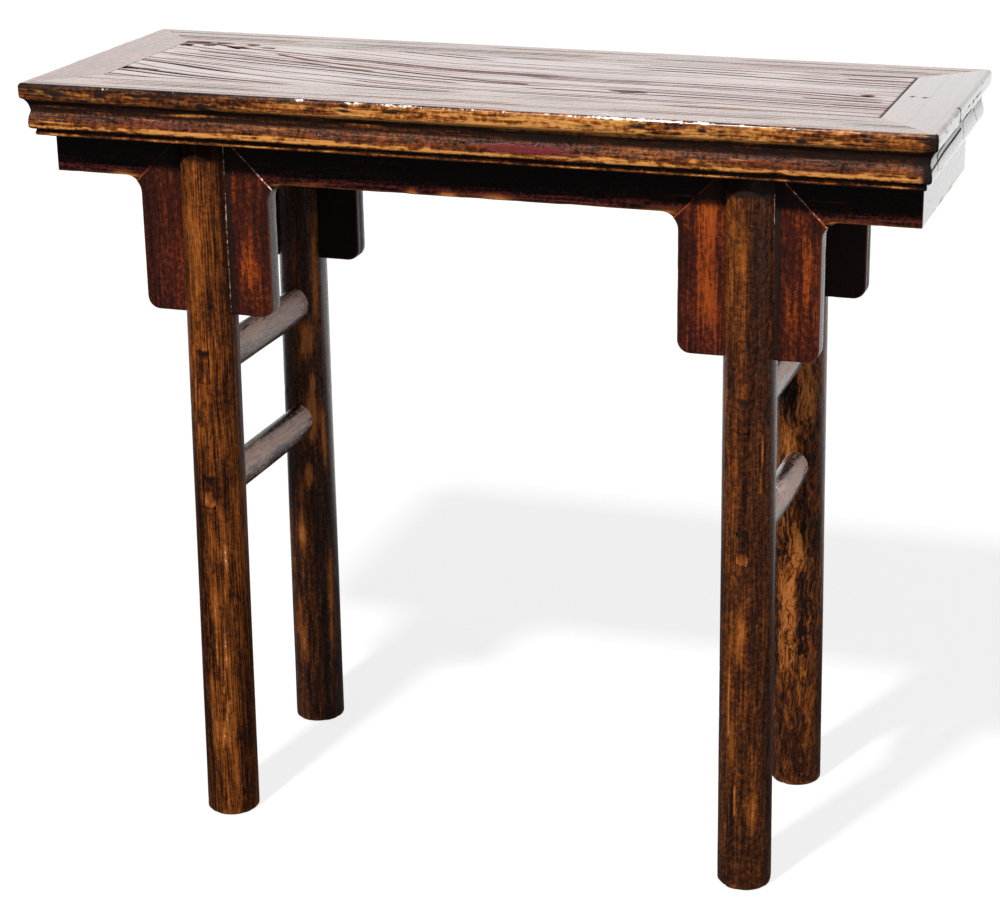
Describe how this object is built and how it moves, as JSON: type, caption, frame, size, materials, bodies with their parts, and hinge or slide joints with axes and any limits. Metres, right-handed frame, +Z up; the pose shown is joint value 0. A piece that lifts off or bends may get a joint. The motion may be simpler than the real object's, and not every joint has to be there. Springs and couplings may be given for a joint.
{
  "type": "altar table",
  "caption": "Narrow wooden altar table: framed panel top with a moulded edge, recessed round legs with slotted aprons and spandrels, and paired oval side stretchers.",
  "frame": {"origin": "on the floor under the middle of the top", "axes": "+X along the length, -Y is the front, +Z up"},
  "size_m": [0.985, 0.35, 0.85],
  "materials": {
    "frame_wood": "old brown lacquer, worn to the wood on the edges",
    "panel_wood": "old brown lacquer, worn to the wood on the edges",
    "apron_wood": "old brown lacquer, worn to the wood on the edges",
    "spandrel_wood": "old brown lacquer, worn to the wood on the edges",
    "leg_wood": "old brown lacquer, worn to the wood on the edges",
    "stretcher_wood": "old brown lacquer, worn to the wood on the edges",
    "brace_wood": "bare aged wood"
  },
  "bodies": {
    "root": {"front_long_rail": "frame_wood", "back_long_rail": "frame_wood", "left_end_rail": "frame_wood", "right_end_rail": "frame_wood", "panel_front_board": "panel_wood", "panel_back_board": "panel_wood", "transverse_brace_1": "brace_wood", "transverse_brace_2": "brace_wood", "transverse_brace_3": "brace_wood", "front_apron": "apron_wood", "back_apron": "apron_wood", "left_end_apron": "apron_wood", "right_end_apron": "apron_wood", "leg_front_left": "leg_wood", "spandrel_outer_front_left": "spandrel_wood", "spandrel_inner_front_left": "spandrel_wood", "leg_front_right": "leg_wood", "spandrel_outer_front_right": "spandrel_wood", "spandrel_inner_front_right": "spandrel_wood", "leg_back_left": "leg_wood", "spandrel_outer_back_left": "spandrel_wood", "spandrel_inner_back_left": "spandrel_wood", "leg_back_right": "leg_wood", "spandrel_outer_back_right": "spandrel_wood", "spandrel_inner_back_right": "spandrel_wood", "stretcher_lower_left": "stretcher_wood", "stretcher_lower_right": "stretcher_wood", "stretcher_upper_left": "stretcher_wood", "stretcher_upper_right": "stretcher_wood"}
  },
  "joints": []
}
